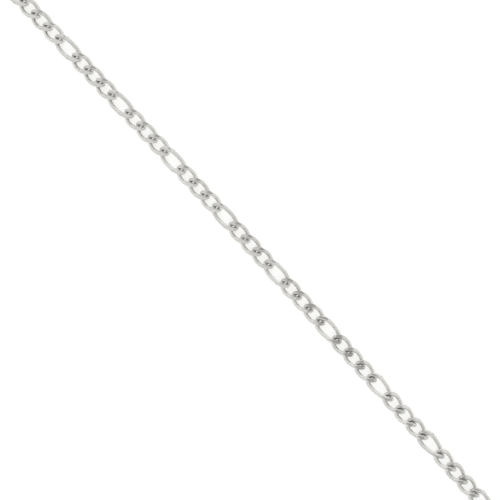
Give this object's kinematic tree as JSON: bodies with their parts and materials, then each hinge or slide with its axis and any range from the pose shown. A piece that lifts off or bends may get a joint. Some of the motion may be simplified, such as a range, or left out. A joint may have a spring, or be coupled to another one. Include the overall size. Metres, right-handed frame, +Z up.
{
  "type": "figaro chain necklace",
  "caption": "Figaro chain necklace: small curb links alternating with long ones, ground flat, closed by a lobster claw and laid out flat in a loop.",
  "frame": {"origin": "middle of the loop's outer box, on the surface that the chain lies on", "axes": "+X along the straight front stretch, +Y from the front stretch towards the clasp, +Z up from the surface"},
  "size_m": [0.2154, 0.0974, 0.0034],
  "materials": {
    "polished_steel": "polished",
    "cast_steel": "polished"
  },
  "bodies": {
    "root": {"left_chain": "polished_steel", "right_chain": "polished_steel", "clasp": "cast_steel", "clasp_ring": "cast_steel", "end_ring": "cast_steel"}
  },
  "joints": []
}
